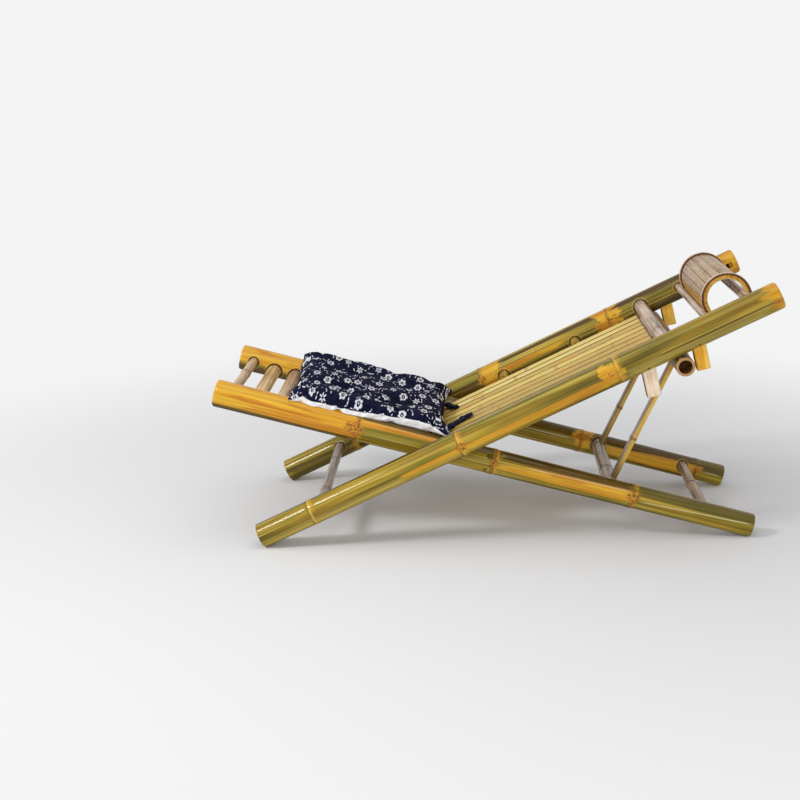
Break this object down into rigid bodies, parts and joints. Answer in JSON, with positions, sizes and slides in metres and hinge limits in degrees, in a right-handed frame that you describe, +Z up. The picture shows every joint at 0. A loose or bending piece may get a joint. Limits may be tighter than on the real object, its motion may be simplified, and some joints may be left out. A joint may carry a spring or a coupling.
{
  "type": "folding bamboo lounge chair",
  "caption": "Low folding lounge chair of bamboo poles: two frames cross on an axle, with a slatted back, arched headrest, seat rungs with a tufted cushion, and a hinged prop under the back.",
  "frame": {"origin": "on the floor, under the middle of the chair's length and width", "axes": "+X from the seat's front edge towards the head end, +Y to the sitter's right, +Z up"},
  "size_m": [1.3266, 0.6065, 0.6284],
  "materials": {
    "olive_culm": "glossy varnish over olive-green bamboo skin",
    "weathered_rod": "satin grey-tan bamboo skin",
    "straw_slat": "satin varnish over split straw-coloured bamboo",
    "pale_strip": "matt split bamboo",
    "amber_bamboo": "satin varnish over scraped amber bamboo",
    "fresh_peg": "raw pale wood",
    "pin_wood": "dark end grain",
    "navy_calico": "printed cotton"
  },
  "bodies": {
    "seat_frame": {"seat_rail_left": "olive_culm", "seat_rail_right": "olive_culm", "seat_rung_1": "weathered_rod", "seat_rung_2": "weathered_rod", "seat_rung_3": "weathered_rod", "seat_rung_4": "weathered_rod", "seat_rung_5": "weathered_rod", "seat_rung_6": "weathered_rod", "seat_rung_7": "weathered_rod", "rear_stretcher": "weathered_rod", "seat_cushion": "navy_calico"},
    "back_frame": {"back_pole_left": "olive_culm", "back_pole_right": "olive_culm", "front_stretcher": "weathered_rod", "pivot_axle": "weathered_rod", "lower_crossbar": "weathered_rod", "middle_crossbar": "weathered_rod", "upper_crossbar": "weathered_rod", "headrest_lower_bar": "weathered_rod", "headrest_upper_bar": "weathered_rod", "back_slat_1": "straw_slat", "back_slat_2": "straw_slat", "back_slat_3": "straw_slat", "back_slat_4": "straw_slat", "back_slat_5": "straw_slat", "back_slat_6": "straw_slat", "back_slat_7": "straw_slat", "back_slat_8": "straw_slat", "headrest_rim_left": "amber_bamboo", "headrest_rim_right": "amber_bamboo", "headrest_strip_1": "pale_strip", "headrest_strip_2": "pale_strip", "headrest_strip_3": "pale_strip", "headrest_strip_4": "pale_strip", "headrest_strip_5": "pale_strip", "headrest_strip_6": "pale_strip", "headrest_strip_7": "pale_strip", "headrest_strip_8": "pale_strip", "headrest_apron": "amber_bamboo", "upper_peg_left": "amber_bamboo", "upper_peg_left_pin": "pin_wood", "upper_peg_right": "amber_bamboo", "upper_peg_right_pin": "pin_wood", "lower_peg_left": "fresh_peg", "lower_peg_left_pin": "pin_wood", "lower_peg_right": "fresh_peg", "lower_peg_right_pin": "pin_wood", "cushion_tie_left": "navy_calico", "cushion_tie_right": "navy_calico"},
    "prop": {"prop_foot_bar": "weathered_rod", "prop_strut_left": "amber_bamboo", "prop_strut_right": "amber_bamboo", "prop_top_bar": "olive_culm"}
  },
  "joints": [
    {"name": "back_fold", "type": "hinge", "parent": "seat_frame", "child": "back_frame", "pos_m": [-0.13095, 0, 0.22363], "axis": [0, -1, 0], "range_deg": [0, 127], "deforming": ["seat_cushion"]},
    {"name": "prop_swing", "type": "hinge", "parent": "seat_frame", "child": "prop", "pos_m": [0.28993, 0, 0.1176], "axis": [0, 1, 0], "range_deg": [0, 71.2]}
  ],
  "couplings": [
    {"joint": "prop_swing", "follows": "back_fold", "ratio": 0.56}
  ]
}
